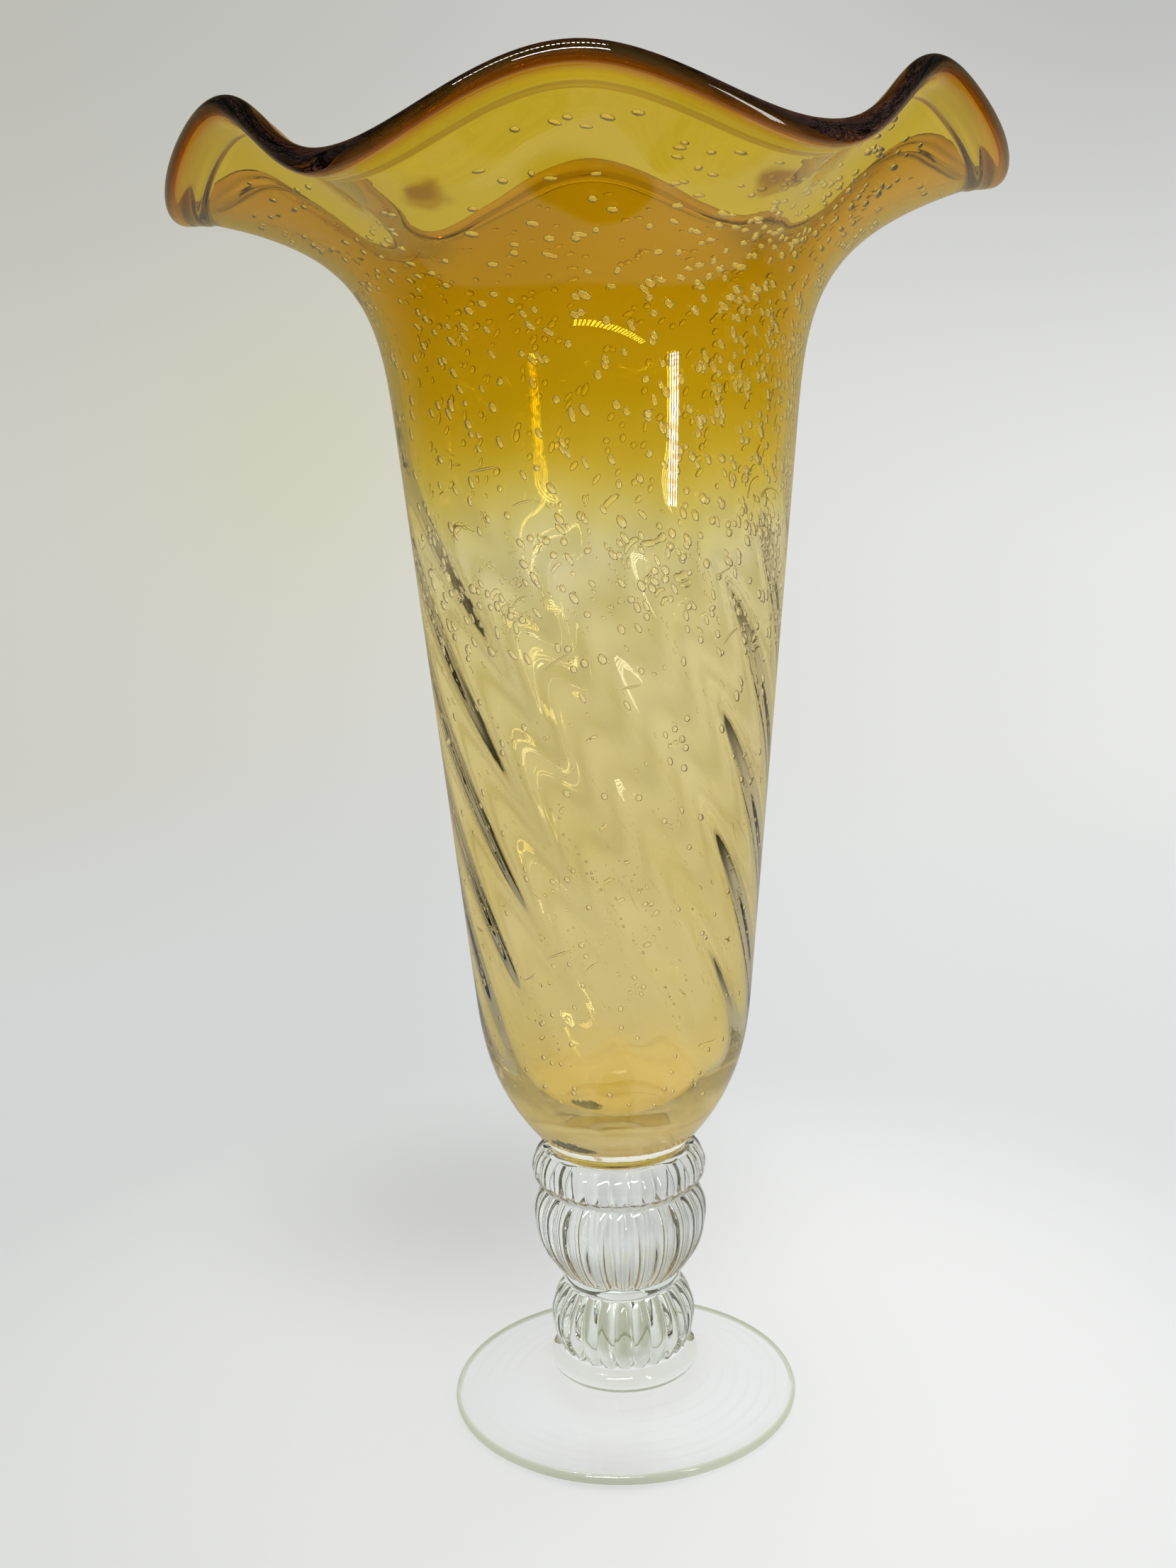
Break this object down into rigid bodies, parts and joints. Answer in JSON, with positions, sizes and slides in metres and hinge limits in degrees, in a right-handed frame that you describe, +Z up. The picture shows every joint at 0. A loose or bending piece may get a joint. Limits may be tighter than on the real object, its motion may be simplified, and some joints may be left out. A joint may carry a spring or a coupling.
{
  "type": "ruffled glass vase",
  "caption": "Tall footed glass vase: a tapering amber bowl with twisted inside ribs, seeds and a ruffled flared rim, on a clear ribbed stem and a flat round foot.",
  "frame": {"origin": "middle of the foot's flat underside", "axes": "+Z up along the stem and the bowl; -Y is the front, the side with the highest-reaching crest of the rim; +X is to the right as seen from the front"},
  "size_m": [0.2824, 0.2738, 0.4783],
  "materials": {
    "amber_glass": "clear gloss, amber, seeded with small air bubbles, paler towards the bottom",
    "amber_lip_glass": "fire-polished gloss, deep amber, free of bubbles",
    "join_glass": "clear gloss with a golden cast",
    "clear_glass": "clear gloss with a faint green-grey cast",
    "clear_foot_glass": "clear gloss, faint green edge, faint tooling rings"
  },
  "bodies": {
    "root": {"foot": "clear_foot_glass", "foot_ring": "clear_glass", "lower_knop": "clear_glass", "waist": "clear_glass", "upper_knop": "clear_glass", "stem_collar": "clear_glass", "bowl_join": "join_glass", "bowl_base": "amber_glass", "bowl_body": "amber_glass", "bowl_flare": "amber_glass", "lip_wrap": "amber_lip_glass"}
  },
  "joints": []
}
